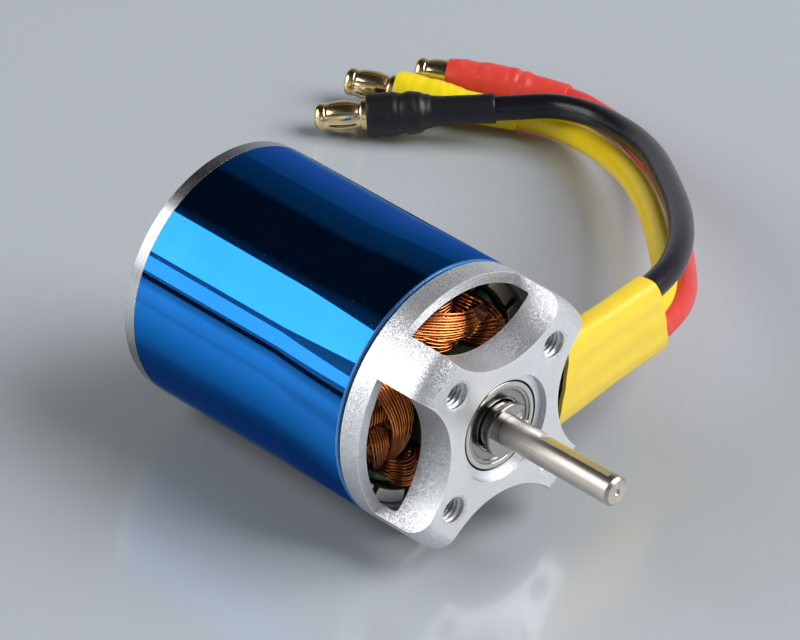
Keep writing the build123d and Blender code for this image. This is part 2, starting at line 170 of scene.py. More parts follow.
class Surface(Nodes):
    """A material built around a Principled shader."""

    def __init__(self, name, **values):
        self.material = bpy.data.materials.new(name)
        self.material.use_nodes = True
        super().__init__(self.material.node_tree)
        self.shader = self.tree.nodes["Principled BSDF"]
        self.coordinates = None
        self.bump_chain = None
        for key, value in values.items():
            self.set(key, value)

    def set(self, key, value):
        socket = self.shader.inputs[key.replace("_", " ")]
        if socket.type == "RGBA":
            value = (*value, 1.0)
        socket.default_value = value

    def point(self, scale=(1.0, 1.0, 1.0)):
        """Object coordinates in millimetres, stretched by scale."""
        if self.coordinates is None:
            self.coordinates = self.node("TexCoord").outputs["Object"]
        steps = tuple(s / MM for s in scale)
        return self.node("Mapping", Vector=self.coordinates, Scale=steps).outputs["Vector"]

    def noise(self, size, detail=3.0, stretch=(1.0, 1.0, 1.0)):
        """Noise whose blobs are about size millimetres across."""
        where = self.point(tuple(s / size for s in stretch))
        made = self.node("TexNoise", Vector=where, Scale=1.0, Detail=detail, Roughness=0.55)
        return made.outputs[0]

    def to(self, key, output):
        self.tree.links.new(output, self.shader.inputs[key.replace("_", " ")])

    def rough(self, pattern, low, high):
        """Roughness that follows a noise pattern."""
        self.to("Roughness", self.ramp(pattern, [(0.2, low), (0.8, high)]))

    def bump(self, height, strength, depth):
        """Adds a bump layer, depth in millimetres."""
        made = self.node("Bump", Strength=strength, Distance=depth * MM, Height=height)
        if self.bump_chain is not None:
            self.tree.links.new(self.bump_chain, made.inputs["Normal"])
        self.bump_chain = made.outputs["Normal"]
        self.to("Normal", self.bump_chain)

    def edges(self):
        """1 on sharp outer edges and 0 elsewhere, for wear."""
        pointiness = self.node("NewGeometry").outputs["Pointiness"]
        return self.ramp(pointiness, [(0.52, 0.0), (0.6, 1.0)])

    def rims(self, size_mm):
        """1 along sharp edges, by how far the rounded normal turns from the real one."""
        rounded = self.node("Bevel", {"samples": 4}, Radius=size_mm * MM).outputs[0]
        real = self.node("NewGeometry").outputs["Normal"]
        turned = self.vector("DOT_PRODUCT", rounded, real).outputs["Value"]
        return self.ramp(turned, [(0.94, 1.0), (0.995, 0.0)])

    def around(self):
        """Distance from the shaft's axis and place along it, in millimetres."""
        split = self.node("SeparateXYZ", Vector=self.point())
        squares = [self.math("POWER", split.outputs[axis], 2.0) for axis in "YZ"]
        return self.math("SQRT", self.math("ADD", *squares)), split.outputs["X"]


# ---- mesh kit ----

def add_object(name, data, body, materials):
    made = bpy.data.objects.new(name, data)
    scene.collection.objects.link(made)
    for surface in materials:
        data.materials.append(surface)
    if body:
        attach(made, body)
    return made


def smooth_by_angle(mesh, degrees):
    """Smooth shading everywhere except over edges sharper than this."""
    for polygon in mesh.polygons:
        polygon.use_smooth = True
    limit = math.radians(degrees)
    bm = bmesh.new()
    bm.from_mesh(mesh)
    for edge in bm.edges:
        if len(edge.link_faces) == 2 and edge.calc_face_angle(0.0) > limit:
            edge.smooth = False
    bm.to_mesh(mesh)
    bm.free()


def solid(name, shape, body, materials, sharp, face_material=None):
    """A piece from points in millimetres and faces, which are turned to look outwards."""
    points, faces = shape
    mesh = bpy.data.meshes.new(name)
    mesh.from_pydata([tuple(c * MM for c in p) for p in points], [], faces)
    if face_material:
        for polygon in mesh.polygons:
            polygon.material_index = face_material(polygon)
    bm = bmesh.new()
    bm.from_mesh(mesh)
    bmesh.ops.recalc_face_normals(bm, faces=bm.faces)
    bm.to_mesh(mesh)
    bm.free()
    smooth_by_angle(mesh, sharp)
    return add_object(name, mesh, body, materials)


SHAFT_AXES = Matrix(((0, 0, 1, 0), (1, 0, 0, 0), (0, 1, 0, 0), (0, 0, 0, 1)))


def lathe_mesh(profile, segments, axes=SHAFT_AXES):
    """Points and faces of a closed (distance, radius) outline turned about an axis."""
    points, faces, rows = [], [], []
    for along, radius in profile:
        if radius < 1e-6:
            rows.append([len(points)] * segments)
            points.append(axes @ Vector((0, 0, along)))
            continue
        rows.append(list(range(len(points), len(points) + segments)))
        for i in range(segments):
            angle = 2 * math.pi * i / segments
            local = Vector((radius * math.cos(angle), radius * math.sin(angle), along))
            points.append(axes @ local)
    for row, following in zip(rows, rows[1:] + rows[:1]):
        for i in range(segments):
            j = (i + 1) % segments
            loop = [row[i], row[j], following[j], following[i]]
            unique = list(dict.fromkeys(loop))
            if len(unique) > 2:
                faces.append(unique)
    return points, faces


def loft(rows, closed=False):
    """Points and faces of a skin over equal rows of points, capped at its ends unless it closes."""
    count, sides = len(rows), len(rows[0])
    points = [p for row in rows for p in row]
    faces = []
    for i in range(count if closed else count - 1):
        j = (i + 1) % count
        for k in range(sides):
            m = (k + 1) % sides
            faces.append([i * sides + k, i * sides + m, j * sides + m, j * sides + k])
    if not closed:
        faces.append(list(range(sides)))
        faces.append([(count - 1) * sides + k for k in reversed(range(sides))])
    return points, faces


def along_path(path, normal):
    """Each place of a path with two directions across it, turned as little as possible."""
    for before, here, after in zip(path[:1] + path, path, path[1:] + path[-1:]):
        tangent = (after - before).normalized()
        normal = (normal - tangent * normal.dot(tangent)).normalized()
        yield here, normal, tangent.cross(normal)


def tube_mesh(path, radius, sides):
    """Points and faces of a round tube along a path."""
    tangent = (path[1] - path[0]).normalized()
    helper = Vector((1, 0, 0)) if abs(tangent.x) < 0.8 else Vector((0, 1, 0))
    angles = [2 * math.pi * k / sides for k in range(sides)]
    rows = []
    for here, normal, side in along_path(path, tangent.cross(helper).normalized()):
        rows.append([here + (normal * math.cos(a) + side * math.sin(a)) * radius for a in angles])
    return loft(rows)


def parabola(start, control, end, steps):
    """Places along a simple curve that starts towards its control point."""
    places = []
    for i in range(steps + 1):
        t = i / steps
        places.append(start * (1 - t) ** 2 + control * 2 * t * (1 - t) + end * t ** 2)
    return places


def joined(parts):
    """Several (points, faces) pairs as one."""
    points, faces = [], []
    for more_points, more_faces in parts:
        start = len(points)
        points += more_points
        faces += [[start + i for i in face] for face in more_faces]
    return points, faces


def finished_copy(node, name, body, materials, round_mm, shape=None, pick=None):
    """The CAD node's own shape with its sharp edges rounded, standing for that node."""
    source = nodes[node]
    bm = bmesh.new()
    bm.from_mesh(source.data)
    bm.transform(source.matrix_world)
    bmesh.ops.remove_doubles(bm, verts=bm.verts, dist=0.0005 * MM)
    bmesh.ops.dissolve_limit(bm, angle_limit=math.radians(0.6), verts=bm.verts, edges=bm.edges)
    if shape:
        shape(bm)
    bmesh.ops.recalc_face_normals(bm, faces=bm.faces)
    mesh = bpy.data.meshes.new(name)
    bm.to_mesh(mesh)
    bm.free()
    made = add_object(name, mesh, body, materials)
    if pick:
        for polygon in mesh.polygons:
            polygon.material_index = pick(polygon)
    bevel = made.modifiers.new("edge_rounding", "BEVEL")
    bevel.width = round_mm * MM
    bevel.segments = 2
    bevel.limit_method = "ANGLE"
    bevel.angle_limit = math.radians(32)
    bevel.use_clamp_overlap = True
    bevel.face_strength_mode = "FSTR_ALL"
    even = made.modifiers.new("even_shading", "WEIGHTED_NORMAL")
    even.keep_sharp = True
    even.use_face_influence = True
    smooth_by_angle(mesh, 32)
    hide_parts(node)
    return made


def polar(x, radius, degrees):
    """A place at this angle about the shaft, from +Y towards +Z."""
    angle = math.radians(degrees)
    return Vector((x, radius * math.cos(angle), radius * math.sin(angle)))


# ---- materials ----

def can_blue():
    """Mirror-polished steel under a transparent blue lacquer, with dust and hairline marks."""
    s = Surface("can_blue", Metallic=1.0, Coat_Weight=0.10, Coat_Roughness=0.02, Coat_IOR=1.45)
    s.set("Specular_Tint", (0.10, 0.42, 0.85))
    cloud = s.noise(9.0, detail=2.0)
    s.to("Base Color", s.ramp(cloud, [(0.3, (0.010, 0.165, 0.56)), (0.7, (0.013, 0.18, 0.60))]))
    specks = s.ramp(s.noise(0.22, detail=1.0), [(0.73, 0.0), (0.80, 1.0)])
    hairline = s.ramp(s.noise(0.5, detail=3.0, stretch=(0.12, 1.6, 1.6)), [(0.7, 0.0), (0.9, 1.0)])
    marks = s.math("ADD", specks, s.math("MULTIPLY", hairline, 0.3), clamp=True)
    s.to("Roughness", s.ramp(marks, [(0.0, 0.035), (1.0, 0.3)]))
    s.bump(specks, 0.15, 0.02)
    s.bump(s.noise(6.0, detail=1.0), 0.02, 0.05)
    return s.material


def bare_metal(name, colour, roughness, grain=0.1, stretch=(1, 1, 1), depth=0.006):
    """Bare or plated metal: fine grain, slightly uneven colour and brighter worn edges."""
    s = Surface(name, Metallic=1.0)
    dark = tuple(c * 0.86 for c in colour)
    tone = s.noise(1.6, detail=4.0)
    base = s.mix(tone, dark, tuple(min(1.0, c * 1.06) for c in colour))
    base = s.mix(s.edges(), base, tuple(min(1.0, c * 1.15 + 0.02) for c in colour))
    s.to("Base Color", base)
    fine = s.noise(grain, detail=2.0, stretch=stretch)
    s.rough(fine, roughness * 0.75, min(1.0, roughness * 1.3))
    s.bump(fine, 0.35, depth)
    return s.material


def sparkle(s, size, lean):
    """Turns the surface normal at random from grain to grain, as blasting does."""
    grains = s.node("TexVoronoi", Vector=s.point((1 / size, 1 / size, 1 / size)), Scale=1.0)
    spread, middle = (2 * lean,) * 3, (-lean,) * 3
    swing = s.vector("MULTIPLY_ADD", grains.outputs["Color"], spread, middle).outputs[0]
    total = s.vector("ADD", s.node("NewGeometry").outputs["Normal"], swing).outputs[0]
    s.to("Normal", s.vector("NORMALIZE", total).outputs[0])
    return s.node("SeparateColor", Color=grains.outputs["Color"]).outputs[1]


def bright_rims(s, tone, metallic, value, low, high):
    """The tone with a painted highlight on its sharp rims, pale and less metallic there, and
    roughness by the grain.
    """
    rims = s.rims(0.12)
    # Painted highlight: the sharp rims turn pale white and less metallic.
    s.to("Base Color", s.mix(rims, tone, (0.98, 0.98, 0.99)))
    s.to("Metallic", s.ramp(rims, [(0.0, metallic), (1.0, 0.15)]))
    s.to("Roughness", s.ramp(value, [(0.0, low), (1.0, high)]))
    return s.material


def blasted_aluminium():
    """Bead-blasted and bright-dipped: a fine sparkling grain with a soft sheen."""
    s = Surface("mount_blasted")
    value = sparkle(s, 0.09, 0.16)
    tone = s.mix(s.noise(1.8, detail=3.0), (0.76, 0.77, 0.79), (0.88, 0.89, 0.91))
    speckled = s.mix(s.ramp(value, [(0.0, 0.7), (0.4, 0.0)]), tone, (0.46, 0.47, 0.50))
    return bright_rims(s, speckled, 0.8, value, 0.34, 0.48)


def turned_face():
    """Face turned flat and lightly blasted: pale and nearly even."""
    s = Surface("mount_face")
    value = sparkle(s, 0.11, 0.06)
    tone = s.mix(s.noise(2.4, detail=4.0), (0.74, 0.75, 0.77), (0.81, 0.82, 0.84))
    tone = s.mix(s.ramp(value, [(0.0, 0.3), (0.3, 0.0)]), tone, (0.60, 0.61, 0.64))
    return bright_rims(s, tone, 1.0, value, 0.38, 0.50)


def ground_steel():
    """Shaft steel, ground round: fine lines across its length, warm grey."""
    s = Surface("shaft_ground", Metallic=1.0)
    lines = s.noise(0.06, detail=2.0, stretch=(1.0, 0.02, 0.02))
    wide = s.noise(1.1, detail=3.0, stretch=(1.0, 0.3, 0.3))
    tone = s.mix(wide, (0.44, 0.395, 0.345), (0.60, 0.55, 0.49))
    s.to("Base Color", s.mix(s.edges(), tone, (0.78, 0.75, 0.71)))
    s.rough(lines, 0.26, 0.42)
    s.bump(lines, 0.5, 0.006)
    return s.material


def enamelled_copper():
    """Magnet wire: copper under clear amber enamel, darker where strands are scorched."""
    s = Surface("winding_wire", Metallic=1.0, Coat_Weight=0.6, Coat_Roughness=0.12)
    blotch = s.noise(1.3, detail=4.0)
    fine = s.noise(0.25, detail=2.0)
    shades = [(0.25, (0.44, 0.105, 0.018)), (0.5, (0.72, 0.22, 0.040)), (0.75, (0.94, 0.38, 0.09))]
    tone = s.ramp(blotch, shades)
    s.to("Base Color", s.mix(s.ramp(fine, [(0.3, 0.0), (0.8, 0.2)]), tone, (0.55, 0.14, 0.02)))
    s.rough(fine, 0.11, 0.21)
    s.bump(fine, 0.10, 0.01)
    return s.material


def green_epoxy():
    """Thick glossy powder coat on the stator's ends, a little lumpy."""
    s = Surface("stator_green_epoxy", Coat_Weight=0.3, Coat_Roughness=0.25)
    tone = s.noise(0.9, detail=4.0)
    s.to("Base Color", s.mix(tone, (0.20, 0.34, 0.10), (0.34, 0.48, 0.20)))
    fine = s.noise(0.16, detail=3.0)
    s.rough(fine, 0.34, 0.6)
    s.bump(fine, 0.5, 0.03)
    return s.material


def laminated_core():
    """Stacked steel sheets on the outer face, green epoxy in the slots and on the ends."""
    s = Surface("stator_laminations")
    radius, along = s.around()
    sheet = s.math("FRACT", s.math("MULTIPLY", along, 1.0 / 0.35))
    seam = s.ramp(sheet, [(0.0, 0.25), (0.12, 1.0), (0.88, 1.0), (1.0, 0.25)])
    steel = s.mix(seam, (0.06, 0.055, 0.05), (0.36, 0.35, 0.34))
    steel = s.mix(s.math("MULTIPLY", s.noise(0.8, detail=3.0), 0.5), steel, (0.20, 0.13, 0.09))
    green = s.mix(s.noise(0.9, detail=4.0), (0.035, 0.075, 0.022), (0.085, 0.15, 0.05))
    outer = s.ramp(s.math("DIVIDE", radius, 12.0), [(0.9, 0.0), (0.913, 1.0)])
    s.to("Base Color", s.mix(outer, green, steel))
    s.to("Metallic", s.math("MULTIPLY", outer, 0.9))
    s.rough(s.noise(0.2, detail=2.0), 0.38, 0.6)
    s.bump(seam, 0.4, 0.03)
    return s.material


def rubber(name, colour, pale, roughness, marks=0.4):
    """Silicone or shrink tube: satin skin, slight unevenness, fine dust and rub marks."""
    s = Surface(name, Coat_Weight=0.08, Coat_Roughness=0.35, Specular_IOR_Level=0.4)
    tone = s.noise(2.6, detail=4.0)
    dust = s.ramp(s.noise(0.28, detail=4.0), [(0.6, 0.0), (0.78, marks)])
    rub = s.ramp(s.noise(1.4, detail=5.0), [(0.52, 0.0), (0.75, marks * 0.6)])
    base = s.mix(tone, tuple(c * 0.9 for c in colour), tuple(min(1.0, c * 1.08) for c in colour))
    base = s.mix(s.math("ADD", dust, rub, clamp=True), base, pale)
    s.to("Base Color", base)
    fine = s.noise(0.18, detail=3.0)
    s.rough(fine, roughness * 0.85, roughness * 1.2)
    s.bump(s.noise(2.2, detail=2.0), 0.25, 0.08)
    s.bump(fine, 0.3, 0.012)
    return s.material


def gold_plate():
    """Bright gold plating with paler worn edges."""
    s = Surface("bullet_gold", Metallic=1.0)
    tone = s.noise(0.9, detail=3.0)
    base = s.mix(tone, (0.82, 0.57, 0.24), (0.98, 0.77, 0.42))
    s.to("Base Color", s.mix(s.edges(), base, (1.0, 0.86, 0.55)))
    fine = s.noise(0.14, detail=2.0)
    s.rough(fine, 0.12, 0.24)
    s.bump(fine, 0.15, 0.006)
    return s.material


def floor_finish():
    """Pale polished acrylic sheet with a faint unevenness."""
    s = Surface("floor_acrylic", Specular_IOR_Level=0.5, Coat_Weight=0.35, Coat_Roughness=0.10)
    grain = s.noise(1.1, detail=2.0)
    s.to("Base Color", s.mix(grain, (0.475, 0.510, 0.547), (0.492, 0.526, 0.563)))
    s.set("Roughness", 0.28)
    return s.material


# ---- stage ----

def world_light():
    """Studio room: bright near the horizon, dark overhead, by the angle about the shaft."""
    world = bpy.data.worlds.new("studio")
    scene.world = world
    world.use_nodes = True
    room = Nodes(world.node_tree)
    direction = room.node("TexCoord").outputs["Generated"]
    across = room.vector("MULTIPLY", direction, (0.0, 1.0, 1.0)).outputs[0]
    level = room.vector("NORMALIZE", across).outputs[0]
    height = room.node("SeparateXYZ", Vector=level).outputs["Z"]
    stops = [
        (0.00, (0.45, 0.48, 0.51)),
        (0.25, (0.36, 0.385, 0.41)),
        (0.48, (0.25, 0.27, 0.29)),
        (0.58, (0.22, 0.235, 0.255)),
        (0.61, (0.13, 0.14, 0.15)),
        (0.88, (0.08, 0.085, 0.09)),
        (0.93, (0.018, 0.019, 0.02)),
    ]
    background = room.tree.nodes["Background"]
    room.fill(background.inputs["Color"], room.ramp(height, stops))
    room.fill(background.inputs["Strength"], 1.0)


def softbox(name, centre, target, along, size, radiance):
    """A flat lamp of the given radiance, with its first side parallel to along."""
    data = bpy.data.lights.new(name, "AREA")
    data.shape = "RECTANGLE"
    data.size, data.size_y = size
    data.energy = radiance * math.pi * size[0] * size[1]
    lamp = bpy.data.objects.new(name, data)
    centre = Vector(centre)
    back = (centre - Vector(target)).normalized()
    side = Vector(along)
    side = (side - back * side.dot(back)).normalized()
    turn = Matrix((side, back.cross(side), back)).transposed().to_4x4()
    lamp.matrix_world = Matrix.Translation(centre) @ turn
    scene.collection.objects.link(lamp)


def studio_lamps():
    """Two long softboxes side by side on the left, and the broad main one from the right."""
    middle = (-0.02, 0.0, 0.0)
    reach = 0.81
    for name, angle, width, radiance in (("key", 139.5, 36.0, 2.9), ("key_low", 168.5, 12.0, 1.8)):
        breadth = 2 * reach * math.tan(math.radians(width / 2))
        softbox(name, polar(-0.60, reach, angle), middle, (1, 0, 0), (1.0, breadth), radiance)
    softbox("main", (0.66, 0.56, 0.78), middle, (-0.62, 0.8, 0), (0.95, 0.95), 6.1)


def flat_sheet(name, corners, surface):
    mesh = bpy.data.meshes.new(name)
    mesh.from_pydata(corners, [], [(0, 1, 2, 3)])
    return add_object(name, mesh, None, [surface])


def make_stage():
    """The floor, and a low dark card, hidden from the camera, that shows in the can's polish."""
    half, level = 1.6, FLOOR_Z * MM
    corners = [(-half, -half), (half, -half), (half, half), (-half, half)]
    floor = flat_sheet("floor", [(x, y, level) for x, y in corners], floor_finish())
    black = Surface("card_black", Roughness=0.9)
    black.to("Base Color", black.mix(black.noise(40.0), (0.01, 0.01, 0.012), (0.02, 0.02, 0.022)))
    low, high = level + 0.02 * MM, 0.04
    near, far = (-1.35, -0.80), (0.10, -0.80)
    corners = [(*near, low), (*far, low), (*far, high), (*near, high)]
    card = flat_sheet("dark_card", corners, black.material)
    card.visible_camera = False


make_camera()
world_light()
studio_lamps()
make_stage()

# ---- leads ----

# Skin colour, its colour where rubbed, roughness, and how strong the marks are.
LEAD_LOOKS = {
    "black": ((0.007, 0.0055, 0.009), (0.055, 0.045, 0.060), 0.25, 0.2),
    "yellow": ((1.0, 0.67, 0.004), (1.0, 0.76, 0.10), 0.34, 0.15),
    "red": ((0.70, 0.050, 0.044), (0.86, 0.28, 0.24), 0.34, 0.25),
}
SHRINK_LOOKS = {
    "black": ((0.008, 0.0075, 0.009), (0.045, 0.043, 0.047), 0.40, 0.2),
    "yellow": ((1.0, 0.74, 0.008), (1.0, 0.82, 0.15), 0.34, 0.15),
    "red": ((0.74, 0.060, 0.045), (0.88, 0.34, 0.28), 0.32, 0.25),
}
LEAD_SKINS = {c: rubber("lead_" + c + "_silicone", *look) for c, look in LEAD_LOOKS.items()}
SHRINK_SKINS = {c: rubber("shrink_" + c + "_skin", *look) for c, look in SHRINK_LOOKS.items()}
GOLD = gold_plate()


def lead_points(colour):
    """The lead's start inside the sleeve, then its route."""
    row = Vector((0, 0, LEAD_ROWS[colour]))
    start = SLEEVE_START + SLEEVE_AXIS * (SLEEVE_LENGTH - LEAD_INSET) + row
    return [start] + [Vector(p) for p in LEAD_ROUTES[colour]]


def lead_curve(name, points, bevel_mm):
    data = bpy.data.curves.new(name, "CURVE")
    data.dimensions = "3D"
    data.bevel_depth = bevel_mm * MM
    data.bevel_resolution = 7
    data.resolution_u = 16
    data.use_fill_caps = True
    spline = data.splines.new("NURBS")
    spline.points.add(len(points) - 1)
    for place, point in zip(spline.points, points):
        place.co = (*(point * MM), 1.0)
    spline.order_u = 3
    spline.use_endpoint_u = True
    return data


def centre_line(colour):
    """Points of the lead's smooth line, in millimetres."""
    data = lead_curve("line_" + colour, lead_points(colour), 0.0)
    holder = bpy.data.objects.new("line_" + colour, data)
    scene.collection.objects.link(holder)
    mesh = bpy.data.meshes.new_from_object(holder)
    line = [v.co / MM for v in mesh.vertices]
    bpy.data.objects.remove(holder)
    bpy.data.meshes.remove(mesh)
    return line


def plug_axes(colour):
    """Axes at the start of a plug's shrink: the third one points out along the plug."""
    points = lead_points(colour)
    out = (points[-1] - points[-2]).normalized()
    side = out.cross(Vector((0, 0, 1))).normalized()
    origin = points[-1] - out * LEAD_IN_SHRINK
    turn = Matrix((side, out.cross(side), out)).transposed().to_4x4()
    return Matrix.Translation(origin) @ turn


def shrink_path(colour):
    """Centre line under the shrink: the lead's own line, then straight along the plug."""
    line = centre_line(colour)
    axes = plug_axes(colour)
    out = (axes @ Vector((0, 0, 1))) - (axes @ Vector((0, 0, 0)))
    kept = [line[-1]]
    length = 0.0
    for before, after in zip(reversed(line[:-1]), reversed(line[1:])):
        length += (after - before).length
        if length > LEAD_IN_SHRINK - SHRINK_TRIM[colour]:
            break
        kept.append(before)
    kept.reverse()
    beyond = SHRINK_LENGTH + SHRINK_EXTRA[colour] - LEAD_IN_SHRINK
    return kept + [kept[-1] + out * (beyond * i / 12) for i in range(1, 13)]


def resampled(path, count):
    """The same line with its places evenly spaced."""
    lengths = [0.0]
    for a, b in zip(path, path[1:]):
        lengths.append(lengths[-1] + (b - a).length)
    out, k = [], 0
    for i in range(count):
        want = lengths[-1] * i / (count - 1)
        while k < len(path) - 2 and lengths[k + 1] < want:
            k += 1
        span = lengths[k + 1] - lengths[k]
        out.append(path[k].lerp(path[k + 1], (want - lengths[k]) / span))
    return out


# Outer radius of each shrink against distance from its start, in millimetres.
SHRINK_PROFILES = {
    "black": [
        (0.0, 1.60), (0.15, 1.70), (2.0, 1.62), (5.6, 1.64), (7.0, 1.74), (7.7, 2.02),
        (8.5, 2.34), (9.4, 2.42), (10.6, 2.34), (11.8, 2.44), (13.0, 2.38), (14.1, 2.42),
        (14.4, 2.30),
    ],
    "yellow": [
        (0.0, 1.64), (0.15, 1.70), (3.5, 1.72), (6.2, 1.76), (7.4, 1.98), (8.6, 2.22),
        (10.0, 2.30), (11.4, 2.24), (12.8, 2.32), (14.0, 2.28), (14.4, 2.18),
    ],
    "red": [
        (0.0, 1.64), (0.15, 1.72), (1.5, 1.74), (3.9, 1.84), (5.2, 2.12), (6.5, 2.28),
        (8.3, 2.26), (9.5, 2.33), (10.7, 2.22), (11.7, 2.31), (12.8, 2.20), (13.5, 2.10),
        (13.9, 2.02),
    ],
}


def profile_radius(profile, at):
    """Radius at this distance, eased from one listed place to the next."""
    for (a, ra), (b, rb) in zip(profile, profile[1:]):
        if at <= b:
            share = (at - a) / (b - a)
            share = share * share * (3 - 2 * share)
            return ra + (rb - ra) * share
    return profile[-1][1]


def make_shrink(colour, seed):
    """Shrunk tube: it grips the lead, swells over the plug's cup, and has creases and folds."""
    rng = random.Random(seed)
    path = resampled(shrink_path(colour), 72)
    profile = SHRINK_PROFILES[colour]
    total = profile[-1][0]
    trim = SHRINK_TRIM[colour]
    creases = []
    for _ in range(7):
        place = rng.uniform(7.5 - trim, total - 0.8)
        creases.append((place, rng.uniform(0.25, 0.5), rng.uniform(0.04, 0.09)))
    lobes = []
    for _ in range(4):
        lobes.append((rng.randint(2, 5), rng.uniform(0, 6.28), rng.uniform(0.012, 0.03)))
    sides = 48
    across = (path[-1] - path[-2]).normalized().cross(Vector((0, 0, 1))).normalized()
    outer, inner = [], []
    for i, (here, normal, side) in enumerate(along_path(path, across)):
        at = total * i / (len(path) - 1)
        base = profile_radius(profile, at)
        swell = min(1.0, max(0.0, (at + trim - 6.0) / 2.5))
        ring_out, ring_in = [], []
        for k in range(sides):
            angle = 2 * math.pi * k / sides
            radius = base
            for count, phase, depth in lobes:
                radius += depth * (0.4 + swell) * math.sin(count * angle + phase + at * 0.35)
            for place, width, depth in creases:
                bend = place + 0.5 * math.sin(angle + place)
                radius -= swell * depth * math.exp(-((at - bend) / width) ** 2)
            radius = min(radius, SHRINK_WIDEST[colour])
            direction = normal * math.cos(angle) + side * math.sin(angle)
            ring_out.append(here + direction * radius)
            ring_in.append(here + direction * max(radius - SHRINK_WALL, LEAD_RADIUS + 0.02))
        outer.append(ring_out)
        inner.append(ring_in)
    skin = SHRINK_SKINS[colour]
    tube = loft(outer + inner[::-1], closed=True)
    piece = solid("shrink_tube_" + colour, tube, "stator", [skin], sharp=50)
    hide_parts("shrink_" + colour)
    return piece


def rounded_profile(outline, size=0.12):
    """An open outline with its inner corners cut to small arcs."""
    out = [Vector(outline[0])]
    for a, b, c in zip(outline, outline[1:], outline[2:]):
        a, b, c = Vector(a), Vector(b), Vector(c)
        cut = min(size, 0.45 * (b - a).length, 0.45 * (c - b).length)
        start = b + (a - b).normalized() * cut
        end = b + (c - b).normalized() * cut
        out += parabola(start, b, end, 4)
    out.append(Vector(outline[-1]))
    return [tuple(p) for p in out]


def make_bullet(colour):
    """Gold bullet plug: cup and collar, slim core, and a nose with a rounded tip."""
    start, tip = SHRINK_LENGTH, SHRINK_LENGTH + BULLET_LENGTH
    outline = [
        (LEAD_IN_SHRINK + 0.02, 0.0), (LEAD_IN_SHRINK + 0.02, 1.95), (start - 0.1, 1.95),
        (start - 0.1, 1.75), (start + 0.62, 1.75), (start + 0.78, 1.45), (start + 0.95, 1.22),
        (tip - 1.35, 1.22), (tip - 1.22, 1.44), (tip - 1.05, 1.55), (tip - 0.55, 1.55),
        (tip - 0.22, 1.34), (tip - 0.04, 0.95), (tip, 0.55), (tip, 0.0),
    ]
    pin = lathe_mesh(rounded_profile(outline), 64, plug_axes(colour))
    piece = solid("bullet_pin_" + colour, pin, "stator", [GOLD], sharp=60)
    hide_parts("bullet_" + colour)
    return piece


def make_bullet_spring(colour):
    """Lantern spring: bulged leaves between two plain bands."""
    start, end = SHRINK_LENGTH + 0.72, SHRINK_LENGTH + BULLET_LENGTH - 1.18
    bands, leaves = 0.42, 8
    steps_along, steps_across = 14, 5
    axes = plug_axes(colour)
    parts = []

    def place(radius, angle, along):
        return axes @ Vector((radius * math.cos(angle), radius * math.sin(angle), along))

    for low, high in ((start, start + bands), (end - bands, end)):
        outline = [(low, 1.30), (low, 1.46), (high, 1.50), (high, 1.32)]
        parts.append(lathe_mesh(outline, 64, axes))
    for leaf in range(leaves):
        middle = 2 * math.pi * (leaf + 0.25) / leaves
        half = math.pi / leaves * 0.80
        rows = []
        for i in range(steps_along + 1):
            t = i / steps_along
            along = start + bands * 0.6 + (end - start - bands * 1.2) * t
            bulge = math.sin(math.pi * t) ** 0.8 if 0 < t < 1 else 0.0
            outer = 1.49 + 0.26 * bulge
            width = half * (1.0 - 0.10 * bulge)
            angles = [middle + width * (2 * k / steps_across - 1) for k in range(steps_across + 1)]
            row = [place(outer, angle, along) for angle in angles]
            rows.append(row + [place(outer - 0.16, angle, along) for angle in reversed(angles)])
        parts.append(loft(rows))
    piece = solid("bullet_lantern_" + colour, joined(parts), "stator", [GOLD], sharp=40)
    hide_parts("bullet_spring_" + colour)
    return piece


def make_lead(colour):
    points = lead_points(colour)
    data = lead_curve("lead_wire_" + colour, points, LEAD_RADIUS)
    lead = add_object("lead_wire_" + colour, data, "stator", [LEAD_SKINS[colour]])
    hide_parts("lead_" + colour)


for number, colour in enumerate(LEAD_COLOURS):
    extras = [make_shrink(colour, 11 + number), make_bullet(colour), make_bullet_spring(colour)]
    make_lead(colour)

STEEL = bare_metal("bearing_polished", (0.46, 0.45, 0.43), 0.14, grain=0.2)
SHIELD = bare_metal("shield_pressed", (0.25, 0.245, 0.24), 0.20, grain=0.15)
CLIP = bare_metal("clip_spring_steel", (0.30, 0.29, 0.285), 0.14, grain=0.2)
MOUNT = [
    blasted_aluminium(), turned_face(),
    # Painted shadow: a dark line in the bearing seat's chamfer, round the outer race.
    bare_metal("seat_edge_oiled", (0.03, 0.03, 0.032), 0.3),
    # Painted shade: a dark green-black skin on the hub tube behind the face.
    rubber("tube_lacquer", (0.012, 0.022, 0.010), (0.03, 0.05, 0.025), 0.5),
]
CAP = bare_metal("cap_turned", (0.50, 0.515, 0.53), 0.28, grain=0.12, stretch=(1.0, 0.2, 0.2))
CAN_EDGE = bare_metal("can_cut_edge", (0.80, 0.82, 0.85), 0.2)
# Pale blue painted highlight for the can's front lip and chamfer.
CAN_LIP_PAINTED_HIGHLIGHT = bare_metal("can_lip_blue", (0.16, 0.42, 0.85), 0.34)
CAN_INSIDE = bare_metal("can_inside_steel", (0.30, 0.31, 0.33), 0.45)
MAGNET = bare_metal("magnet_nickel", (0.52, 0.52, 0.51), 0.38, grain=0.12, depth=0.003)
SCREW = bare_metal("screw_black_oxide", (0.07, 0.07, 0.075), 0.4)
SHAFT = ground_steel()
COPPER = enamelled_copper()
GREEN = green_epoxy()
CORE = laminated_core()


# ---- rotor ----

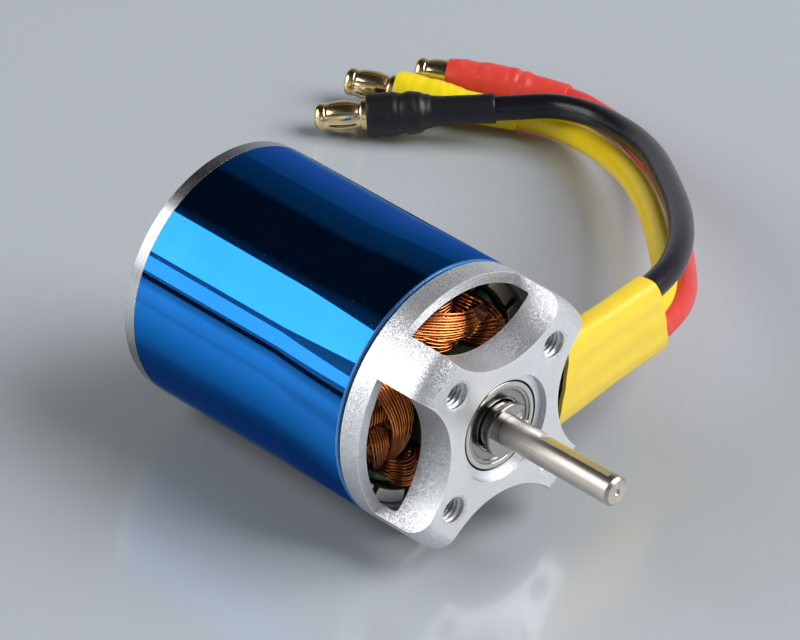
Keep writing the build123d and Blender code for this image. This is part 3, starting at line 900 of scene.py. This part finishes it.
def make_can():
    """The can's tube, with its own materials inside and on its back edge, and a pale blue painted
    highlight on its front lip.
    """
    front, back, chamfer = CAN_FRONT_X, CAN_BACK_X, 0.25
    profile = [
        (front, CAN_INNER_RADIUS), (front, CAN_RADIUS - 0.5), (front, CAN_RADIUS - chamfer),
        (front - chamfer * 0.3, CAN_RADIUS - chamfer * 0.35),
        (front - chamfer, CAN_RADIUS), (front - 10, CAN_RADIUS), (front - 20, CAN_RADIUS),
        (back + 0.08, CAN_RADIUS), (back, CAN_RADIUS - 0.05), (back, CAN_INNER_RADIUS),
    ]
    def pick(polygon):
        middle = polygon.center / MM
        radius = math.hypot(middle.y, middle.z)
        if radius < CAN_RADIUS - 0.52:
            return 1
        if middle.x < back + 0.05:
            return 2
        # Front lip and chamfer: the painted highlight.
        if middle.x > front - chamfer and radius < CAN_RADIUS - 0.02:
            return 3
        return 0

    surfaces = [can_blue(), CAN_INSIDE, CAN_EDGE, CAN_LIP_PAINTED_HIGHLIGHT]
    can = solid("can_shell", lathe_mesh(profile, 360), "rotor", surfaces, 32, pick)
    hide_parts("rotor_can")


def shaft_tip_mark(bm):
    """A small centre mark drilled in the shaft's end."""
    tips = [f for f in bm.faces if f.normal.x > 0.99 and f.calc_center_median().x > 0.015]
    if not tips:
        return
    tip = max(tips, key=lambda f: f.calc_area())
    for inset in (0.9, 0.22):
        bmesh.ops.inset_individual(bm, faces=[tip], thickness=inset * MM)
    bmesh.ops.translate(bm, verts=tip.verts, vec=(-0.22 * MM, 0, 0))


make_can()
finished_copy("rear_cap", "end_cap", "rotor", [CAP], 0.12)
finished_copy("magnets", "magnet_ring", "rotor", [MAGNET], 0.12)
finished_copy("shaft", "output_shaft", "rotor", [SHAFT], 0.04, shaft_tip_mark)
finished_copy("shaft_clip", "retaining_clip", "rotor", [CLIP], 0.12)
finished_copy("shim_washers", "shims", "rotor", [STEEL], 0.04)
finished_copy("grub_screws", "grub_pair", "rotor", [SCREW], 0.06)


# ---- mount and bearings ----

def open_screw_holes(bm):
    """Widens the four screw holes to the thread's outer size, behind their countersinks."""
    for vertex in bm.verts:
        here = vertex.co / MM
        for degrees in LOBE_ANGLES:
            centre = polar(here.x, SCREW_CIRCLE_RADIUS, degrees)
            away = here - centre
            if abs(away.length - SCREW_HOLE_RADIUS) < 0.03 and here.x > -PLATE_THICKNESS - 0.1:
                vertex.co = (centre + away.normalized() * THREAD_RADIUS) * MM
            elif abs(away.length - SCREW_HOLE_RADIUS - 0.35) < 0.03 and here.x > -0.1:
                vertex.co = (centre + away.normalized() * (THREAD_RADIUS + 0.3)) * MM


def pick_face(polygon):
    """Which of the mount's materials a face takes: its number in MOUNT."""
    middle = polygon.center / MM
    radius = math.hypot(middle.y, middle.z)
    # The bearing seat's chamfer takes the painted shadow line.
    if 4.72 < radius < 4.96 and -1.0 < middle.x < -0.6 and abs(polygon.normal.x) < 0.95:
        return 2
    # The hub tube behind the face takes the painted shade.
    if 5.3 < radius < 5.7 and middle.x < -PLATE_THICKNESS:
        return 3
    return 1 if polygon.normal.x > 0.999 and middle.x > -0.9 else 0


def make_threads():
    """The ridge of an M3 thread in each hole: a closed helix with a flat crest."""
    pitch, start, end = 0.5, -0.42, -4.1
    steps = 28
    count = int((start - end) / pitch * steps)
    parts = []
    for degrees in LOBE_ANGLES:
        rows = []
        for i in range(count + 1):
            turn = i / steps
            angle = 2 * math.pi * turn
            spoke = Vector((0, math.cos(angle), math.sin(angle)))
            root = THREAD_RADIUS + 0.02
            crest = THREAD_RADIUS - 0.25 * min(1.0, turn, (count - i) / steps)
            row = []
            for radius, shift in ((root, 0.23), (crest, 0.03), (crest, -0.03), (root, -0.23)):
                centre = polar(start - pitch * turn + shift, SCREW_CIRCLE_RADIUS, degrees)
                row.append(centre + spoke * radius)
            rows.append(row)
        parts.append(loft(rows))
    threads = solid("mount_threads", joined(parts), "stator", [MOUNT[0]], sharp=40)


def make_shields():
    """Pressed bearing shields with a stepped face, front and back of each bearing."""
    for place, front in BEARING_FRONT_X.items():
        parts = []
        for face, sign in ((front, -1), (front - BEARING_WIDTH, 1)):
            outline = [
                (0.12, 4.19), (0.12, 3.86), (0.24, 3.74), (0.24, 3.02), (0.34, 2.92),
                (0.34, 2.76), (0.48, 2.76), (0.46, 3.02), (0.36, 3.12), (0.36, 3.76), (0.27, 4.19),
            ]
            parts.append(lathe_mesh([(face + sign * a, r) for a, r in outline], 96))
        shields = solid(place + "_shield_pair", joined(parts), "stator", [SHIELD], sharp=28)
        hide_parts(place + "_bearing_shields")


mount = finished_copy(
    "front_mount", "mount_body", "stator", MOUNT, 0.14, open_screw_holes, pick_face
)
make_threads()
make_shields()
for place in BEARING_FRONT_X:
    node = place + "_bearing_outer_ring"
    ring = finished_copy(node, place + "_outer_race", "stator", [STEEL], 0.08)


# ---- windings ----

TAIL_ROOT_Y = 8.93
WIRE_RADIUS = 0.135
WIRE_COLUMNS = 9
WIRE_LAYERS = 8


def on_tooth(x, radial, across, degrees):
    """A place given by its distance out along a tooth and across it."""
    angle = math.radians(degrees)
    return Vector((
        x,
        radial * math.cos(angle) - across * math.sin(angle),
        radial * math.sin(angle) + across * math.cos(angle),
    ))


def end_turn(degrees, face_x, outward, column, layer, rng, lean):
    """One strand's arch over the end of a tooth."""
    radial = 6.75 + 0.375 * column + rng.uniform(-0.03, 0.03)
    height = 0.34 + 0.35 * layer + rng.uniform(-0.05, 0.05)
    half = (1.22 + 0.085 * layer + rng.uniform(-0.03, 0.03)) * (0.62 + 0.045 * radial)
    tilt = rng.uniform(-0.06, 0.06) + lean * (layer / WIRE_LAYERS)
    path = []
    for i in range(11):
        turn = math.pi * i / 10
        across = half * math.copysign(abs(math.cos(turn)) ** 0.8, math.cos(turn))
        rise = height * math.sin(turn) ** 0.6
        reach = min(max(radial + tilt * math.cos(turn), 6.55), 9.95)
        path.append(on_tooth(face_x + outward * rise, reach, across, degrees))
    return tube_mesh(path, WIRE_RADIUS, 7)


def slot_strand(degrees, column, layer, side):
    """One straight strand in the slot beside a tooth."""
    radial = 7.45 + 0.28 * column
    across = side * (1.31 + 0.27 * layer)
    ends = [on_tooth(x, radial, across, degrees) for x in (COIL_FRONT_X + 0.3, COIL_BACK_X - 0.3)]
    return tube_mesh(ends, WIRE_RADIUS, 5)


def coil_wires(tooth):
    """All the strands of one tooth's coil that can be seen."""
    rng = random.Random(500 + tooth)
    degrees = tooth * 360 / TOOTH_COUNT
    lean = rng.choice((-0.35, 0.35, 0.2))
    parts = []
    for column in range(WIRE_COLUMNS):
        for layer in range(WIRE_LAYERS):
            buried = 0 < column < WIRE_COLUMNS - 1 and layer < WIRE_LAYERS - 3
            if buried:
                continue
            parts.append(end_turn(degrees, COIL_FRONT_X, 1, column, layer, rng, lean))
            parts.append(end_turn(degrees, COIL_BACK_X, -1, column, layer, rng, lean))
        for layer in range(3):
            for side in (-1, 1):
                parts.append(slot_strand(degrees, column, layer, side))
    return parts


def crossover(start, end, strands, spacing, peak_at, depth, seed):
    """A flat bundle that runs over the coils' front ends from one (y, z) place to another."""
    rng = random.Random(seed)
    start, end = Vector((0, *start)), Vector((0, *end))
    along = (end - start).normalized()
    beside = Vector((0, -along.z, along.y))
    parts = []
    for strand in range(strands):
        offset = (strand - (strands - 1) / 2) * spacing
        wander = [rng.uniform(-0.035, 0.035) for _ in range(3)]
        sink = rng.uniform(0.0, 0.05) + 0.10 * (strand % 2)
        path = []
        for i in range(17):
            t = i / 16
            flare = 1.0 - 0.22 * math.sin(math.pi * t)
            if t < peak_at:
                lift = math.sin(0.5 * math.pi * t / peak_at) ** 0.7
                x = -11.6 + 3.1 * lift
            else:
                fall = (t - peak_at) / (1 - peak_at)
                x = -8.5 - depth * fall ** 1.8
            sway = wander[0] * math.sin(2 * math.pi * t) + wander[1] * (1 - t) + wander[2] * t
            place = start.lerp(end, t) + beside * (offset * flare + sway)
            path.append(Vector((x - sink, place.y, place.z)))
        parts.append(tube_mesh(path, WIRE_RADIUS, 7))
    return parts


def bundle(first, last, depths, strands, seed):
    """Strands side by side between two outer ones, each given by three (y, z) places."""
    rng = random.Random(seed)
    parts = []
    for strand in range(strands * 2):
        layer = strand // strands
        share = (strand % strands + 0.5 * layer) / (strands - 1)
        if share > 1:
            continue
        wander = [rng.uniform(-0.05, 0.05) for _ in range(3)]
        places = []
        for index in range(3):
            here = Vector((0, *first[index])).lerp(Vector((0, *last[index])), share)
            crown = 0.22 * math.sin(math.pi * share)
            here.x = depths[index] + crown - 0.30 * layer + 0.05 * (strand % 2)
            here.y += wander[index]
            here.z += wander[index] * 0.6
            places.append(here)
        start, middle, end = places
        control = middle * 2 - (start + end) * 0.5
        parts.append(tube_mesh(parabola(start, control, end, 18), WIRE_RADIUS, 8))
    return parts


# Bundles by phase: start, middle and end (y, z) of the first outer strand and of the last one,
# the three depths, and the number of strands in a layer.
BUNDLES = {
    "a": [
        (((-4.2, 10.4), (0.0, 9.8), (5.7, 7.8)), ((-6.9, 8.5), (0.1, 6.8), (6.4, 6.7)),
         (-9.9, -7.1, -9.5), 11),
        (((0.2, 7.0), (-2.0, 7.6), (-4.9, 9.0)), ((0.9, 6.1), (-1.6, 6.0), (-4.0, 6.3)),
         (-8.0, -7.4, -8.8), 6),
    ],
    "b": [
        (((-9.9, 4.4), (-8.7, 0.2), (-7.7, -4.6)), ((-6.1, 4.2), (-5.85, 0.2), (-6.3, -4.9)),
         (-9.2, -6.9, -8.6), 11),
        (((-10.0, -0.7), (-10.1, -2.5), (-8.8, -5.4)), ((-7.9, -0.9), (-8.0, -2.6), (-7.7, -4.9)),
         (-8.8, -8.0, -8.9), 8),
    ],
    "c": [
        (((0.9, 7.2), (4.3, 7.2), (7.9, 5.4)), ((1.3, 6.0), (4.0, 4.6), (6.6, 3.2)),
         (-8.1, -7.4, -8.4), 8),
        (((-6.9, -5.2), (-5.2, -5.3), (-3.8, -4.7)), ((-6.6, -7.9), (-5.2, -8.3), (-3.9, -8.2)),
         (-8.8, -7.8, -8.5), 9),
    ],
}

# Start and end (y, z), strands, spacing, where it crests, how far it sinks after that.
CROSSOVERS = {
    "a": ((7.6, -3.2), (4.6, -7.4), 8, 0.28, 0.4, 2.4),
    "b": ((-3.0, -8.6), (4.2, -7.6), 7, 0.28, 0.5, 2.4),
    "c": ((8.9, 2.6), (7.6, -3.8), 9, 0.28, 0.45, 2.0),
}


def tooth_tip_coats():
    """Green epoxy, rounded over the front and back ends of the tooth tips."""
    profile = [
        (0.0, 10.02), (0.85, 10.05), (1.15, 10.2), (1.25, 10.48),
        (1.15, 10.77), (0.85, 10.92), (0.0, 10.96),
    ]
    steps = 12
    parts = []
    for face_x, outward in ((TEETH_FRONT_X, 1), (TEETH_BACK_X, -1)):
        for tooth in range(TOOTH_COUNT):
            rows = []
            for i in range(steps + 1):
                share = 2 * i / steps - 1
                degrees = tooth * 360 / TOOTH_COUNT + 10.6 * share
                swell = (1 - abs(share) ** 5) ** 0.5 * 0.8 + 0.2
                rows.append([
                    polar(face_x + outward * rise * swell, radius, degrees)
                    for rise, radius in profile
                ])
            parts.append(loft(rows))
    coats = solid("tooth_tip_coats", joined(parts), "stator", [GREEN], sharp=45)


for number, letter in enumerate("abc"):
    parts = []
    for tooth in range(number, TOOTH_COUNT, 3):
        parts += coil_wires(tooth)
    parts += crossover(*CROSSOVERS[letter], seed=70 + 10 * number)
    for index, settings in enumerate(BUNDLES[letter]):
        parts += bundle(*settings, seed=170 + 10 * number + index)
    wires = solid("phase_" + letter + "_wires", joined(parts), "stator", [COPPER], sharp=70)
    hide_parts("winding_phase_" + letter)

tooth_tip_coats()


def tail_path(colour):
    """From the coil ends, out through the side of the mount, to the lead in the sleeve."""
    end = lead_points(colour)[0]
    bend = end - SLEEVE_AXIS * ((end.y - TAIL_ROOT_Y) / SLEEVE_AXIS.y)
    root = Vector((COIL_FRONT_X + 3.6, TAIL_ROOT_Y, bend.z))
    path = parabola(root, bend, bend.lerp(end, 0.25), 8)[:-1]
    return path + [bend.lerp(end, 0.25 + 0.75 * i / 8) for i in range(9)]


def make_tails():
    """The three twisted ends that run from the coils into the sleeve."""
    parts = []
    rng = random.Random(90)
    for colour in LEAD_COLOURS:
        path = tail_path(colour)
        for strand in range(7):
            phase = 2 * math.pi * strand / 6
            spread = 0.0 if strand == 6 else 0.42
            twisted = []
            for i, here in enumerate(path):
                angle = phase + 2.4 * i / len(path) + rng.uniform(-0.06, 0.06)
                offset = Vector((math.cos(angle), 0.0, math.sin(angle))) * spread
                twisted.append(here + offset)
            parts.append(tube_mesh(twisted, WIRE_RADIUS, 7))
    tails = solid("tail_wires", joined(parts), "stator", [COPPER], sharp=70)
    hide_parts("phase_tails")


make_tails()

# ---- sleeve ----

def sleeve_section(half_width, half_thick, count=72):
    """A flattened tube's outline, pressed in a little between the three leads."""
    outline = []
    for i in range(count):
        angle = 2 * math.pi * i / count
        wide = math.copysign(abs(math.cos(angle)) ** 0.72, math.cos(angle)) * half_width
        thick = math.copysign(abs(math.sin(angle)) ** 0.55, math.sin(angle)) * half_thick
        rows = 0.09 * (1 - math.cos(2 * math.pi * wide / 2.9)) / 2
        if abs(wide) < 3.6:
            thick -= math.copysign(rows, thick)
        outline.append((wide, thick))
    return outline


def make_sleeve():
    """The flat yellow sleeve, a little dented, with slanting ends."""
    rng = random.Random(33)
    axis, length = SLEEVE_AXIS, SLEEVE_LENGTH
    wide = Vector((0, 0, 1))
    wide = (wide - axis * wide.dot(axis)).normalized()
    thick = axis.cross(wide)
    dents = []
    for _ in range(9):
        place = (rng.uniform(2, 14), rng.uniform(-4, 4))
        dents.append((*place, rng.uniform(1.2, 2.4), rng.uniform(-0.10, 0.08)))
    steps = 40
    outer, inner = [], []
    for i in range(steps + 1):
        t = i / steps
        half_width = 4.72 + 0.45 * (1 - t) ** 1.6 + 0.05 * math.sin(9 * t)
        half_thick = 1.90 - 0.10 * math.sin(math.pi * t)
        for rows, shrink in ((outer, 0.0), (inner, SLEEVE_WALL)):
            ring = []
            for across, deep in sleeve_section(half_width - shrink, half_thick - shrink):
                slant = t * (-0.30 * across) + (1 - t) * (0.14 * across)
                slant *= min(1.0, 1.4 * abs(t - 0.5) + 0.3)
                along = length * t + slant - 0.35 * (1 - t) ** 4
                press = sum(
                    depth * math.exp(-((along - a) ** 2 + (across - c) ** 2) / size ** 2)
                    for a, c, size, depth in dents
                )
                deep += math.copysign(press, deep) * 0.6
                ring.append(SLEEVE_START + axis * along + wide * across + thick * deep)
            rows.append(ring)
    tube = loft(outer + inner[::-1], closed=True)
    skin = rubber("sleeve_yellow_skin", (1.0, 0.69, 0.045), (1.0, 0.80, 0.20), 0.30, marks=0.10)
    piece = solid("sleeve_yellow", tube, "stator", [skin], sharp=50)
    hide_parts("lead_sleeve")


make_sleeve()

# ---- inner pieces kept from the CAD model ----

KEPT = {"stator_core": CORE, "rear_spacer": STEEL}
for place, ending in (("front", ""), ("rear", "_rear")):
    KEPT["stator_insulator_" + place] = GREEN
    KEPT[place + "_bearing_inner_ring"] = STEEL
    KEPT[place + "_bearing_balls"] = bare_metal("ball_steel" + ending, (0.75, 0.75, 0.76), 0.08)
    KEPT[place + "_bearing_cage"] = bare_metal("cage_ribbon" + ending, (0.62, 0.48, 0.26), 0.3)
for name, surface in KEPT.items():
    nodes[name].data.materials.clear()
    nodes[name].data.materials.append(surface)

scene.view_settings.view_transform = "Standard"
scene.cycles.caustics_reflective = False
